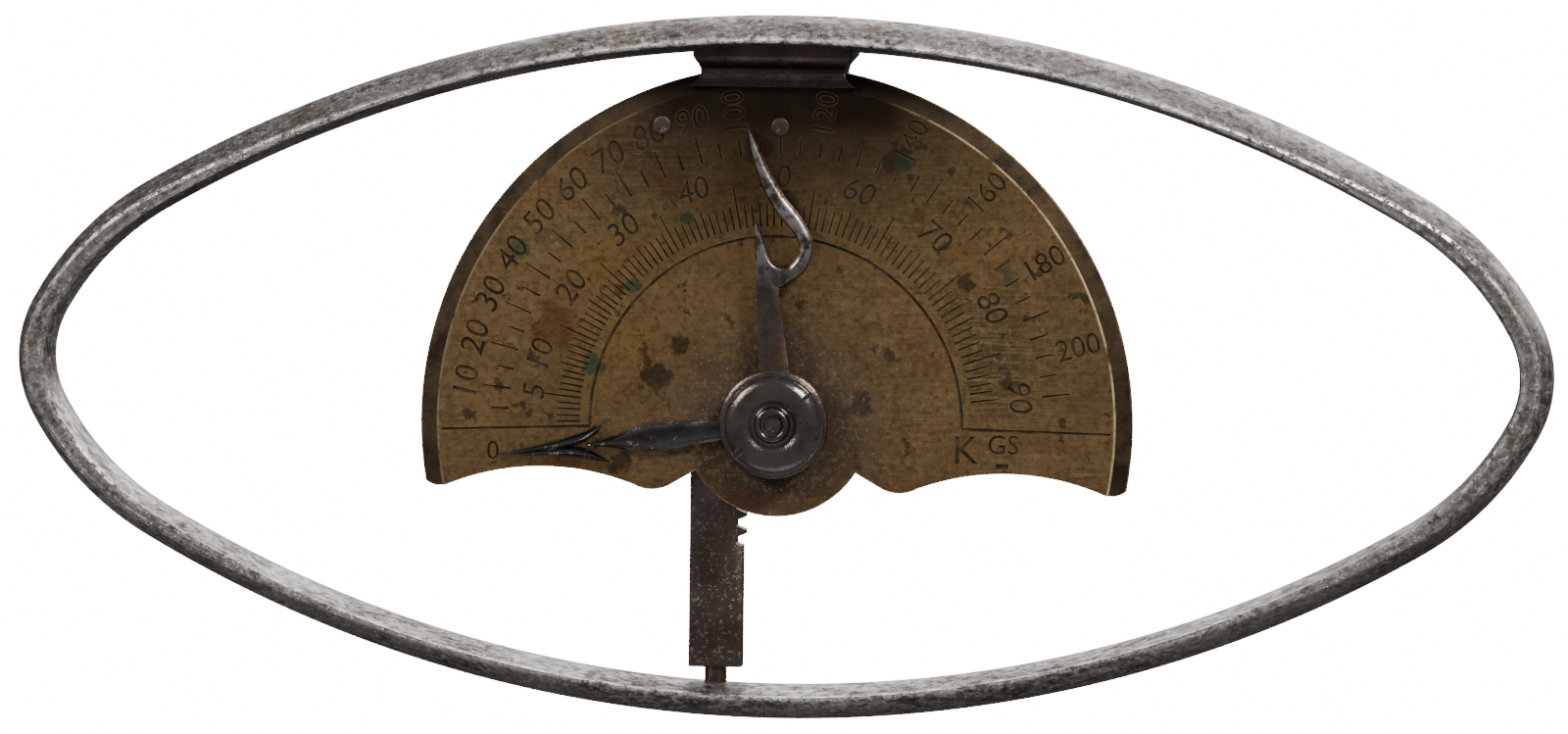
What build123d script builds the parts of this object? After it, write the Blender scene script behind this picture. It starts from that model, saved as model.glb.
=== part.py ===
from build123d import *
import math
import os

# Hand dynamometer: a closed oval spring ring, a brass dial on its upper arm, and a rack on its lower
# arm that turns a pinion behind the dial. Millimetres. X runs along the ring, Z is up, and the dial
# faces -Y. The origin is the middle of the ring.

# ---- driving dimensions ----
ring_length = 125.3
ring_height = 57.2
arm_radius = 103.0
shoulder_radius = 25.0
end_radius = 10.0
band_thickness = 2.8
outer_crown = 2.02
lens_width = 12.3
arm_width = 12.0
end_width = 8.6
flat_stretch = 50.0

pivot_x = -0.4
pivot_z = -4.45
dial_radius = 29.0
dial_back = -1.3
dial_thickness = 1.1
dial_bevel = 0.35
dial_bevel_width = 1.1

tooth_module = 0.439
pinion_teeth = 13
tooth_depth = 0.72
pressure_angle = 20.0
backlash = 0.08
gaps_below = 7
gaps_above = 2
rack_width = 4.3
rack_thickness = 2.2
rack_bottom_z = -24.45
rack_top_z = 13.4
stud_radius = 0.9
travel = 9.0

post_radius = 0.8
running_gap = 0.03
side_gap = 0.08
pipe_radius = 1.35
seat_radius = 1.25
collar_radius = 1.5
nut_radius = 4.15
hub_radius = 4.45
bush_radius = 2.0
collet_radius = 1.95
arrow_drop = 7.4
maximum_lean = 5.8

rivet_radius = 1.0
rivet_reach = 4.05
guide_rivet_radius = 0.6
guide_play = 0.07
screw_radius = 0.6
screw_depth = 0.75
foot_pin_radius = 0.5

# ---- values that follow from them ----
half_length = ring_length / 2
half_height = ring_height / 2
dial_front = dial_back - dial_thickness
pitch_radius = tooth_module * pinion_teeth / 2
tooth_pitch = math.pi * tooth_module
addendum = 0.45 * tooth_depth
dedendum = tooth_depth - addendum
rack_line_x = pivot_x - pitch_radius
rack_right_x = rack_line_x + 0.12
rack_left_x = rack_right_x - rack_width
rack_middle_x = (rack_left_x + rack_right_x) / 2

# ---- levels behind and in front of the dial, as Y ----
bridge_front = 1.5
bridge_back = 2.6
gear_front = -0.9
gear_back = 0.85
arrow_back = -2.62
arrow_front = -3.12
pipe_front = -3.3
seat_back = -3.38
seat_front = -3.62
pointer_back = -3.72
pointer_front = -4.5
washer_back = -4.55
washer_front = -4.78
nut_back = -4.82
nut_front = -6.0
post_front = -5.55
post_back = 4.1

# ---- places of the fasteners, from the pivot ----
pillar_places = [(4.3, 7.6), (9.4, -1.8)]
upper_rivet_places = [(-9.55, 24.05), (0.1, 24.05)]
lower_screw_places = [(-10.0, 1.2), (-10.0, -2.4)]
leaf_screw_place = (-10.2, 11.6)
foot_middle_x = -0.9
foot_pin_places = [(-3.6, 27.9), (3.8, 27.9)]


def at_pivot(shape):
    return Pos(pivot_x, 0, pivot_z) * shape


def rod(radius, y_from, y_to, x=0.0, z=0.0):
    """A round bar along Y between two levels."""
    length = abs(y_to - y_from)
    middle = (y_from + y_to) / 2
    return Pos(x, middle, z) * Rot(90, 0, 0) * Cylinder(radius, length)


def ring_of(outer, inner, y_from, y_to, x=0.0, z=0.0):
    """A round bar with a hole right through it."""
    low = min(y_from, y_to) - 1
    high = max(y_from, y_to) + 1
    return rod(outer, y_from, y_to, x, z) - rod(inner, low, high, x, z)


def block(x_from, x_to, y_from, y_to, z_from, z_to):
    """A box between two corners."""
    size = (abs(x_to - x_from), abs(y_to - y_from), abs(z_to - z_from))
    middle = ((x_from + x_to) / 2, (y_from + y_to) / 2, (z_from + z_to) / 2)
    return Pos(*middle) * Box(*size)


def plate(face, y_from, y_to):
    """A face drawn in X and Z, as a plate between two levels of Y."""
    low = min(y_from, y_to)
    high = max(y_from, y_to)
    return extrude(Plane((0, high, 0), x_dir=(1, 0, 0), z_dir=(0, -1, 0)) * face, high - low)


def turned(points, x=0.0, z=0.0):
    """A turned piece from a closed outline of (radius, y) points, about an axis along Y."""
    outline = make_face(Polyline(*[(r, y) for r, y in points], close=True))
    return Pos(x, 0, z) * revolve(outline, Axis.Y)


def join(first, *others):
    for other in others:
        first = first + other
    return first


# ---- the ring ----
def oval_arcs():
    """Centres and tangent points of the three arcs that make a quarter of the oval's outer line."""
    arm_centre = Vector(0, half_height - arm_radius)
    end_centre = Vector(half_length - end_radius, 0)
    span = (end_centre - arm_centre).length
    to_arm = arm_radius - shoulder_radius
    to_end = shoulder_radius - end_radius
    along = (to_arm**2 - to_end**2 + span**2) / (2 * span)
    aside = math.sqrt(to_arm**2 - along**2)
    line = (end_centre - arm_centre).normalized()
    shoulder_centre = arm_centre + line * along + Vector(-line.Y, line.X) * aside
    arm_end = arm_centre + (shoulder_centre - arm_centre).normalized() * arm_radius
    end_start = shoulder_centre + (end_centre - shoulder_centre).normalized() * shoulder_radius
    return arm_centre, shoulder_centre, end_centre, arm_end, end_start


def band_section(radius):
    """The lens-shaped section of the band, its crest at the given radius, in radius and Y."""
    tip = radius - outer_crown
    half = lens_width / 2
    outer = ThreePointArc((tip, -half), (radius, 0), (tip, half))
    inner = ThreePointArc((tip, half), (radius - band_thickness, 0), (tip, -half))
    return make_face(Curve() + [outer, inner])


def band_arc(centre, radius, start_angle, end_angle):
    """Part of the band: its section turned about an arc's centre, angles from +X towards +Z."""
    swept = revolve(band_section(radius), Axis.Y, revolution_arc=end_angle - start_angle)
    return Pos(centre.X, 0, centre.Y) * Rot(0, -end_angle, 0) * swept


def angle_of(centre, point):
    return math.degrees(math.atan2(point.Y - centre.Y, point.X - centre.X))


def ring_plan():
    """The band's outline seen from above: straight along the arms and narrower at the ends."""
    half = arm_width / 2
    narrow = end_width / 2
    middle = (flat_stretch / 2 + half_length) / 2
    bow = narrow + (half - narrow) * 0.72  # wider than halfway, so the narrowing starts gently
    top = Line((-flat_stretch / 2, half), (flat_stretch / 2, half))
    right = ThreePointArc((flat_stretch / 2, half), (middle, bow), (half_length + 1, narrow))
    end = Line((half_length + 1, narrow), (half_length + 1, -narrow))
    right_low = ThreePointArc((half_length + 1, -narrow), (middle, -bow), (flat_stretch / 2, -half))
    bottom = Line((flat_stretch / 2, -half), (-flat_stretch / 2, -half))
    left_low = ThreePointArc((-flat_stretch / 2, -half), (-middle, -bow), (-half_length - 1, -narrow))
    far = Line((-half_length - 1, -narrow), (-half_length - 1, narrow))
    left = ThreePointArc((-half_length - 1, narrow), (-middle, bow), (-flat_stretch / 2, half))
    return make_face(Curve() + [top, right, end, right_low, bottom, left_low, far, left])


def spring_ring():
    """The closed band: two arms, four shoulders and two ends, trimmed to the outline from above."""
    arm_centre, shoulder_centre, end_centre, arm_end, end_start = oval_arcs()
    arm_low = angle_of(arm_centre, arm_end)
    end_high = angle_of(end_centre, end_start)
    outline = extrude(ring_plan(), half_height + 5, both=True)
    arm = band_arc(arm_centre, arm_radius, arm_low, 180 - arm_low) & outline
    shoulder = band_arc(shoulder_centre, shoulder_radius, end_high, arm_low) & outline
    end = band_arc(end_centre, end_radius, -end_high, end_high) & outline
    upper = arm
    for x in foot_rivet_xs():
        upper = upper - Pos(x, 0, half_height) * Cylinder(rivet_radius, 12)
    stud_hole = Rot(0, 0, 30) * Cylinder(stud_radius + running_gap, 12)
    lower = Rot(180, 0, 0) * arm - Pos(rack_middle_x, 0, -half_height) * stud_hole
    half_turns = [Rot(180, 0, 0), Rot(0, 180, 0), Rot(0, 0, 180)]
    shoulders = [shoulder] + [half_turn * shoulder for half_turn in half_turns]
    return upper.fuse(lower, *shoulders, end, Rot(0, 0, 180) * end)


# ---- the dial and what holds it ----
def foot_rivet_xs():
    return [foot_middle_x - 1.4, foot_middle_x + 4.0]


def dial_outline():
    """The dial's face from its pivot: a wide fan with a shallow arch, a small lobe and a round
    boss on each side of the middle at its lower edge."""
    corner_drop = 5.1
    corner_x = math.sqrt(dial_radius**2 - corner_drop**2)
    boss = 7.6
    cusp_x = 6.5
    cusp_z = -math.sqrt(boss**2 - cusp_x**2)
    lines = [
        ThreePointArc((corner_x, -corner_drop), (0, dial_radius), (-corner_x, -corner_drop)),
        ThreePointArc((0, -boss), (boss * math.sin(0.5), -boss * math.cos(0.5)), (cusp_x, cusp_z)),
        ThreePointArc((0, -boss), (-boss * math.sin(0.5), -boss * math.cos(0.5)), (-cusp_x, cusp_z)),
    ]
    for side in (1, -1):
        lines += [
            Line((side * cusp_x, cusp_z), (side * 8.5, -5.1)),
            ThreePointArc((side * 8.5, -5.1), (side * 10.1, -5.55), (side * 11.6, -5.15)),
            ThreePointArc((side * 11.6, -5.15), (side * 19.0, -3.83), (side * 26.6, -5.35)),
            ThreePointArc((side * 26.6, -5.35), (side * 27.7, -5.5), (side * corner_x, -corner_drop)),
        ]
    return make_face(Curve() + lines)


def dial_plate():
    body = plate(dial_outline(), dial_back, dial_front)
    bevel_from = dial_radius - dial_bevel_width
    wedge = turned([
        (bevel_from, dial_front - 1),
        (bevel_from, dial_front),
        (dial_radius + 0.5, dial_front + dial_bevel * (dial_bevel_width + 0.5) / dial_bevel_width),
        (dial_radius + 0.5, dial_front - 1),
    ])
    body = body - wedge - rod(bush_radius, dial_back + 1, dial_front - 1)
    for x, z in upper_rivet_places:
        body = body - rod(guide_rivet_radius, dial_back + 1, dial_front - 1, x, z)
    for x, z in pillar_places + lower_screw_places + [leaf_screw_place]:
        body = body - rod(screw_radius, dial_back + 1, dial_back - screw_depth, x, z)
    for x, z in foot_pin_places:
        body = body - rod(foot_pin_radius, dial_back + 1, dial_front - 1, x, z)
    return at_pivot(body)


def dial_bush():
    flange = ring_of(2.4, pipe_radius + running_gap, dial_back, gear_front - side_gap)
    body = ring_of(bush_radius, pipe_radius + running_gap, dial_back, dial_front)
    return at_pivot(flange + body)


def dial_foot():
    """The moulded block between the upper arm and the dial, with a slot for the dial's edge."""
    top = half_height
    low = pivot_z + 27.3
    half_top = 6.35
    half_neck = 5.8
    front_top = 4.6
    front_low = -dial_front + 0.55
    back_low = 0.9
    side = Polyline(
        (-half_top, top), (-half_top, 25.3), (-half_neck - 0.15, 24.6), (-half_neck, 24.0),
        (-half_neck - 0.3, low + 0.5), (-half_neck - 0.95, low), (half_neck + 0.95, low),
        (half_neck + 0.3, low + 0.5), (half_neck, 24.0), (half_neck + 0.15, 24.6),
        (half_top, 25.3), (half_top, top), close=True,
    )
    front = plate(make_face(side), -front_top, front_top)
    profile = Polyline(
        (-front_top, top), (-front_top, 25.35), (-front_top + 0.25, 24.95), (-front_low - 0.35, 24.3),
        (-front_low - 0.5, 23.9), (-front_low - 0.1, 23.45), (-front_low, low),
        (back_low, low), (back_low + 0.6, 24.6), (front_top, 25.3), (front_top, top), close=True,
    )
    along = Plane((0, 0, 0), x_dir=(0, 1, 0), z_dir=(1, 0, 0)) * make_face(profile)
    body = front & extrude(along, 8, both=True)
    body = Pos(foot_middle_x, 0, 0) * body
    inside = Rot(90, 0, 0) * Cylinder(arm_radius - band_thickness + outer_crown / 2, 30)
    body = (body & Pos(0, 0, half_height - arm_radius) * inside) - crown_room()
    slot = rod(dial_radius + 0.02, dial_back, dial_front)
    body = body - at_pivot(slot)
    for x, z in foot_pin_places:
        body = body - at_pivot(rod(foot_pin_radius, 6, dial_front - 0.25, x, z))
    for x in foot_rivet_xs():
        body = body - Pos(x, 0, half_height) * Cylinder(rivet_radius, 2 * rivet_reach)
    return body


def crown_room():
    """The upper arm's own band, taken out of the foot so that the two only touch."""
    arm_centre = oval_arcs()[0]
    return band_arc(arm_centre, arm_radius, 80, 100)


def foot_rivets():
    """Two rivets through the upper arm into the foot, their tops hammered flush."""
    low = half_height - rivet_reach
    pieces = []
    for x in foot_rivet_xs():
        crest = half_height - arm_radius + math.sqrt(arm_radius**2 - x**2) - 0.02
        pieces.append(Pos(x, 0, (crest + low) / 2) * Cylinder(rivet_radius, crest - low))
    return Compound(pieces)


def foot_pins():
    """Two pins through the foot's lips and the dial's edge, blind at the front."""
    pieces = [at_pivot(rod(foot_pin_radius, 1.1, dial_front - 0.25, x, z)) for x, z in foot_pin_places]
    return Compound(pieces)


# ---- the rack ----
def tooth_gap(z):
    """The gap between two rack teeth, a straight-sided wedge."""
    slope = math.tan(math.radians(pressure_angle))
    root_half = tooth_pitch / 4 + backlash / 2 - dedendum * slope
    mouth_half = tooth_pitch / 4 + backlash / 2 + addendum * slope
    x_root = rack_line_x - dedendum
    x_tip = rack_line_x + addendum
    outline = Polyline(
        (x_root, z - root_half), (x_tip, z - mouth_half), (x_tip + 1, z - mouth_half),
        (x_tip + 1, z + mouth_half), (x_tip, z + mouth_half), (x_root, z + root_half), close=True,
    )
    return plate(make_face(outline), -2, 2)


def rack():
    """A flat bar with teeth on its right edge, a narrower top that runs in the upper guide, and a
    threaded stud below that fills its hole in the lower arm."""
    half = rack_thickness / 2
    x_root = rack_line_x - dedendum
    x_tip = rack_line_x + addendum
    teeth_low = pivot_z - gaps_below * tooth_pitch
    teeth_high = pivot_z + gaps_above * tooth_pitch
    body = block(rack_left_x, rack_right_x, -half, half, rack_bottom_z, teeth_low)
    body = body + block(rack_left_x, x_tip, -half, half, teeth_low, teeth_high)
    body = body + block(rack_left_x, x_root, -half, half, teeth_high, rack_top_z)
    for number in range(-gaps_below, gaps_above + 1):
        body = body - tooth_gap(pivot_z + number * tooth_pitch)
    stud_low = -half_height + 0.2
    stud_high = rack_bottom_z + 0.5
    stud = Pos(rack_middle_x, 0, (stud_low + stud_high) / 2) * Cylinder(stud_radius, stud_high - stud_low)
    return body + stud


# ---- the pinion and its bearing ----
def pinion():
    """Thirteen teeth on a long pipe that passes through the dial and carries the arrow pointer."""
    slope = math.tan(math.radians(pressure_angle))
    root = pitch_radius - dedendum
    tip = pitch_radius + addendum - 0.04
    half = tooth_pitch / 4 - backlash / 2
    half_root = half + 0.5 * dedendum * slope
    half_tip = half - 1.5 * addendum * slope
    gear = rod(root, gear_front, gear_back)
    tooth = plate(make_face(Polyline(
        (root - 0.2, half_root), (pitch_radius, half), (tip, half_tip),
        (tip, -half_tip), (pitch_radius, -half), (root - 0.2, -half_root), close=True,
    )), gear_front, gear_back)
    for number in range(pinion_teeth):
        gear = gear + Rot(0, 180 + 360 * number / pinion_teeth, 0) * tooth
    pipe = rod(pipe_radius, gear_front, pipe_front)
    bore = rod(post_radius + running_gap, gear_back + 1, pipe_front - 1)
    return at_pivot(gear + pipe - bore)


def centre_post():
    """The fixed post: threaded at both ends, with a collar between the bridge and the pinion."""
    return at_pivot(turned([
        (0, post_back), (post_radius, post_back), (post_radius, bridge_front),
        (collar_radius, bridge_front), (collar_radius, gear_back + side_gap),
        (post_radius, gear_back + side_gap), (post_radius, post_front), (0, post_front),
    ]))


def pointer_seat():
    """A flanged sleeve fixed on the post, on which the maximum pointer turns."""
    flange = ring_of(3.1, post_radius, seat_back, seat_front)
    sleeve = ring_of(seat_radius, post_radius, seat_back, washer_front)
    return at_pivot(flange + sleeve)


def post_nut():
    """A round nut behind the bridge, with a notch on each side."""
    back = bridge_back + 1.2
    body = ring_of(1.9, post_radius, bridge_back, back)
    for side in (1, -1):
        body = body - block(side * 1.2, side * 2.5, back - 0.5, back + 1, -0.3, 0.3)
    return at_pivot(body)


def bar_between(start, end, half_width, y_from, y_to):
    """A flat bar with round ends between two places in X and Z."""
    run = Vector(end[0] - start[0], end[1] - start[1])
    slope = math.degrees(math.atan2(run.Y, run.X))
    middle = ((start[0] + end[0]) / 2, (start[1] + end[1]) / 2)
    outline = Pos(middle[0], middle[1]) * Rot(0, 0, slope) * SlotCenterToCenter(run.length, 2 * half_width)
    return plate(outline, y_from, y_to)


def back_bridge():
    body = rod(2.6, bridge_front, bridge_back)
    for place in pillar_places:
        body = body + bar_between((0, 0), place, 1.8, bridge_front, bridge_back)
    for x, z in pillar_places:
        body = body - rod(screw_radius + 0.02, 0, 5, x, z)
    return at_pivot(body - rod(post_radius, 0, 5))


def bridge_pillars():
    return Compound([
        at_pivot(ring_of(1.5, screw_radius + 0.02, dial_back, bridge_front, x, z))
        for x, z in pillar_places
    ])


def slotted_screw(x, z, seat, head_radius=1.2, head_height=0.8):
    """A cheese-head screw driven from behind, its tip in the dial's back."""
    head = rod(head_radius, seat, seat + head_height, x, z)
    slot = block(x - head_radius - 1, x + head_radius + 1, seat + 0.45, seat + 2, z - 0.17, z + 0.17)
    shank = rod(screw_radius, seat + 0.1, dial_back - screw_depth + 0.05, x, z)
    return at_pivot(head - slot + shank)


def bridge_screws():
    return Compound([slotted_screw(x, z, bridge_back) for x, z in pillar_places])


# ---- the rack's guides and its pressure spring ----
def upper_rack_guide():
    """A strap behind the rack, on two round bosses, with a cheek on each side of the rack."""
    left = rack_left_x - guide_play - pivot_x
    right = rack_line_x - dedendum - pivot_x
    strap_front = rack_thickness / 2 + guide_play
    strap_back = strap_front + 0.8
    (left_x, rivet_z), (right_x, _) = upper_rivet_places
    low = 13.4
    body = bar_between((left_x, rivet_z), (right_x, rivet_z), 1.35, strap_front, strap_back)
    body = body + block(left - 1.1, right + 1.1 + guide_play, strap_front, strap_back, low, rivet_z)
    for x in (left_x, right_x):
        body = body + rod(1.25, dial_back, strap_front + 0.1, x, rivet_z)
    cheek_top = low + 3.0
    body = body + block(left - 1.1, left, dial_back + 0.02, strap_front + 0.1, low, cheek_top)
    body = body + block(
        right + guide_play, right + 1.1 + guide_play, dial_back + 0.02, strap_front + 0.1, low, cheek_top
    )
    for x in (left_x, right_x):
        body = body - rod(guide_rivet_radius, -3, 3, x, rivet_z)
    return at_pivot(body)


def upper_guide_rivets():
    """Two rivets with low round heads on the dial's face, spread behind the strap."""
    strap_back = rack_thickness / 2 + guide_play + 0.8
    pieces = []
    for x, z in upper_rivet_places:
        shank = rod(guide_rivet_radius, dial_front, strap_back, x, z)
        head = rod(0.72, dial_front - 0.12, dial_front, x, z)
        tail = rod(0.95, strap_back, strap_back + 0.25, x, z)
        pieces.append(at_pivot(join(shank, head, tail)))
    return Compound(pieces)


def lower_rack_guide():
    """A block on the rack's left side, opposite the pinion, with a lip behind the rack."""
    left = rack_left_x - guide_play - pivot_x
    lip_front = rack_thickness / 2 + guide_play
    lip_back = lip_front + 0.8
    body = block(left - 3.1, left, dial_back, lip_back, -3.65, 2.4)
    body = body + block(left - 0.1, left + 1.6, lip_front, lip_back, -3.65, 2.4)
    for x, z in lower_screw_places:
        body = body - rod(screw_radius + 0.02, -3, 3, x, z)
    return at_pivot(body)


def lower_guide_screws():
    seat = rack_thickness / 2 + guide_play + 0.8
    return Compound([slotted_screw(x, z, seat) for x, z in lower_screw_places])


def rack_spring():
    """A bent leaf that keeps the rack against the pinion."""
    left = rack_left_x - pivot_x
    anchor_x, anchor_z = leaf_screw_place
    bend_z = 4.0
    touch = left - 0.06
    web_top = anchor_z - 1.2
    strip = Polyline(
        (anchor_x - 0.15, web_top), (anchor_x - 0.15, bend_z + 3.4), (touch - 0.3, bend_z + 0.3),
        (touch, bend_z), (touch - 0.6, bend_z - 0.7), (touch - 0.85, bend_z - 0.5),
        (touch - 0.38, bend_z + 0.05), (touch - 0.6, bend_z + 0.3), (anchor_x - 0.45, bend_z + 3.3),
        (anchor_x - 0.45, web_top), close=True,
    )
    leaf = plate(make_face(strip), -0.8, 0.8)
    foot = block(anchor_x - 1.2, anchor_x + 1.2, dial_back, dial_back + 0.3, web_top - 1.4, anchor_z + 1.3)
    web = block(anchor_x - 0.45, anchor_x - 0.15, dial_back, 0.8, web_top - 1.4, web_top)
    foot = foot - rod(screw_radius + 0.02, -3, 3, anchor_x, anchor_z)
    return at_pivot(join(leaf, web, foot))


def rack_spring_screw():
    x, z = leaf_screw_place
    return slotted_screw(x, z, dial_back + 0.3, head_radius=1.1, head_height=0.6)


# ---- the pointers ----
def arrow_collet():
    return at_pivot(ring_of(collet_radius, pipe_radius, dial_front - side_gap, pipe_front))


def arrow_pointer():
    """The driven pointer: a slender arrow head on a leaf-shaped shaft, and a ring on the collet."""
    tip = 23.0
    barb = 13.8
    shape = Polyline(
        (-tip, 0), (-19.4, 0.46), (-16.8, 0.82), (-barb, 1.6), (-15.2, 0.3), (-13.2, 0.34),
        (-11.3, 0.9), (-9.9, 1.1), (-7.2, 1.02), (-2.6, 0.65), (-2.6, -0.65), (-7.2, -1.02),
        (-9.9, -1.1), (-11.3, -0.9), (-13.2, -0.34), (-15.2, -0.3), (-barb, -1.6), (-16.8, -0.82),
        (-19.4, -0.46), close=True,
    )
    body = plate(make_face(shape), arrow_back, arrow_front)
    hub = rod(3.2, arrow_back, arrow_front)
    arrow = hub + body - rod(collet_radius, 0, -8)
    return at_pivot(Rot(0, -arrow_drop, 0) * arrow)


def maximum_pointer():
    """The pointer that stays at the highest reading: a hub, a tapered shaft that ends in a spike, and
    a loop that leaves the shaft's right side and turns up into a second, longer tip."""
    hub = ring_of(hub_radius, seat_radius + running_gap, pointer_back, pointer_front)
    outline = Curve() + [
        Line((-0.8, 3.9), (-0.05, 16.5)),
        Line((-0.05, 16.5), (0.62, 14.9)),
        ThreePointArc((0.62, 14.9), (1.95, 12.6), (3.4, 14.3)),
        Spline((3.4, 14.3), (1.9, 16.7), (0.6, 19.4), (0.1, 24.0)),
        Line((0.1, 24.0), (0.25, 24.0)),
        Spline((0.25, 24.0), (0.9, 21.8), (2.5, 18.4), (4.5, 14.3), tangents=((0.2, -1), (0, -1))),
        ThreePointArc((4.5, 14.3), (3.75, 12.3), (1.5, 11.1)),
        Line((1.5, 11.1), (1.6, 3.9)),
        Line((1.6, 3.9), (-0.8, 3.9)),
    ]
    body = plate(make_face(outline), pointer_back, pointer_front)
    pointer = hub + body - rod(seat_radius + running_gap, 0, -8)
    return at_pivot(Rot(0, -maximum_lean, 0) * pointer)


# ---- the front nut ----
def friction_washer():
    return at_pivot(ring_of(3.0, seat_radius + 0.05, washer_back, washer_front))


def spanner_nut():
    """A dished disc with a rounded collar in the middle and two slots in its rim."""
    body = turned([
        (post_radius, nut_back), (nut_radius, nut_back), (nut_radius, nut_back - 0.25),
        (3.7, nut_back - 0.6), (3.0, nut_back - 0.8), (2.3, nut_back - 0.72), (1.6, nut_back - 0.42),
        (1.42, nut_front + 0.35), (1.25, nut_front), (1.0, nut_front), (0.88, nut_front + 0.15),
        (0.88, post_front), (post_radius, post_front),
    ])
    for angle in (40, 220):
        notch = block(3.0, 5.0, nut_back + 1, nut_front - 1, -0.5, 0.5)
        body = body - Rot(0, -angle, 0) * notch
    return at_pivot(body)


nodes = {
    "spring_ring": spring_ring,
    "dial_foot": dial_foot,
    "foot_rivets": foot_rivets,
    "foot_pins": foot_pins,
    "dial_plate": dial_plate,
    "dial_bush": dial_bush,
    "upper_rack_guide": upper_rack_guide,
    "upper_guide_rivets": upper_guide_rivets,
    "lower_rack_guide": lower_rack_guide,
    "lower_guide_screws": lower_guide_screws,
    "rack_spring": rack_spring,
    "rack_spring_screw": rack_spring_screw,
    "back_bridge": back_bridge,
    "bridge_pillars": bridge_pillars,
    "bridge_screws": bridge_screws,
    "centre_post": centre_post,
    "post_nut": post_nut,
    "pointer_seat": pointer_seat,
    "friction_washer": friction_washer,
    "spanner_nut": spanner_nut,
    "rack": rack,
    "pinion": pinion,
    "arrow_collet": arrow_collet,
    "arrow_pointer": arrow_pointer,
    "maximum_pointer": maximum_pointer,
}

os.makedirs("parts", exist_ok=True)
for name, make in nodes.items():
    export_step(make(), f"parts/{name}.step")
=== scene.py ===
import bpy
import math
import random
from mathutils import Matrix, Vector


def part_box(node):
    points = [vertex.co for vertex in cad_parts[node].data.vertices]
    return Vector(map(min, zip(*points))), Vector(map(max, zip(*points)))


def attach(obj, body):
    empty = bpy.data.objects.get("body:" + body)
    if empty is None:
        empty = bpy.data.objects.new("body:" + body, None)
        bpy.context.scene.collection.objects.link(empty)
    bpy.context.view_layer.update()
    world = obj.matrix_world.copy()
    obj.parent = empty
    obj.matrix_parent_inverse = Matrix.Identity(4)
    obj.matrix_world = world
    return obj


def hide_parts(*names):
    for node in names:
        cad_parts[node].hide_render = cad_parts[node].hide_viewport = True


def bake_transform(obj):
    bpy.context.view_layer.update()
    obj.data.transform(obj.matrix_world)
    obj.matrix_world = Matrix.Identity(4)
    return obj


# Ring-spring hand dynamometer. The dial faces -Y, Z is up, metres throughout.
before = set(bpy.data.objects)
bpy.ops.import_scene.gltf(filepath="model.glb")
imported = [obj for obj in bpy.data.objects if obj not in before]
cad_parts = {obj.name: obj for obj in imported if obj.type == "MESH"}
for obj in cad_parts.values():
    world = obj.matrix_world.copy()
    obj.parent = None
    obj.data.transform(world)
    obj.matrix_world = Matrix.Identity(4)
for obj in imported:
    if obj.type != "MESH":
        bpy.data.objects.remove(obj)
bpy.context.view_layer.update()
MM = 0.001
random.seed(7)

# ---- sizes taken from the CAD nodes ----
ring_low, ring_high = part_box("spring_ring")
nut_low, nut_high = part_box("spanner_nut")
dial_low, dial_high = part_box("dial_plate")
PIVOT = Vector(((nut_low.x + nut_high.x) / 2, 0, (nut_low.z + nut_high.z) / 2))
HALF_LENGTH = ring_high.x
HALF_HEIGHT = ring_high.z
DIAL_FRONT = dial_low.y
DIAL_RADIUS = dial_high.z - PIVOT.z
RIM_FROM = DIAL_RADIUS - 1.1 * MM


# ---- camera ----
def look(location, target, roll):
    """The turn that points a camera at a target, rolled about its own line of sight."""
    aim = (target - location).to_track_quat("-Z", "Y").to_matrix().to_4x4()
    return aim @ Matrix.Rotation(math.radians(roll), 4, "Z")


CAMERA_AZIMUTH = 5.5
CAMERA_ELEVATION = 3.0
CAMERA_DISTANCE = 1.5
CAMERA_ROLL = 0.68
LONG_LENS = 424
camera_data = bpy.data.cameras.new("camera")
camera = bpy.data.objects.new("camera", camera_data)
bpy.context.scene.collection.objects.link(camera)
bpy.context.scene.camera = camera
camera_data.lens = LONG_LENS
camera_data.sensor_width = 36
camera_data.clip_start = 0.05
camera_data.clip_end = 20
azimuth = math.radians(CAMERA_AZIMUTH)
elevation = math.radians(CAMERA_ELEVATION)
sight = Vector((math.sin(azimuth) * math.cos(elevation), -math.cos(azimuth) * math.cos(elevation),
                math.sin(elevation)))
target = Vector((0.0, 0.0, 0.0))
location = target + sight * CAMERA_DISTANCE
camera.matrix_world = Matrix.Translation(location) @ look(location, target, CAMERA_ROLL)


# ---- light ----
def lamp(name, place, size_x, size_y, power, colour=(1, 1, 1)):
    """A soft rectangular lamp aimed at the middle of the object."""
    light = bpy.data.lights.new(name, "AREA")
    light.shape = "RECTANGLE"
    light.size = size_x
    light.size_y = size_y
    light.energy = power
    light.color = colour
    holder = bpy.data.objects.new(name, light)
    bpy.context.scene.collection.objects.link(holder)
    place = Vector(place)
    holder.matrix_world = Matrix.Translation(place) @ look(place, Vector((0, 0, 0)), 0)


lamp("key_lamp", (0.44, -0.46, 0.54), 0.20, 0.16, 6.4, (1.0, 0.985, 0.96))
lamp("left_lamp", (-0.55, -0.42, 0.42), 0.22, 0.30, 3.0)
lamp("top_lamp", (0.0, 0.10, 0.7), 0.5, 0.25, 2.3)
lamp("back_lamp", (0.1, 0.55, 0.25), 0.5, 0.4, 1.6)


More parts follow.
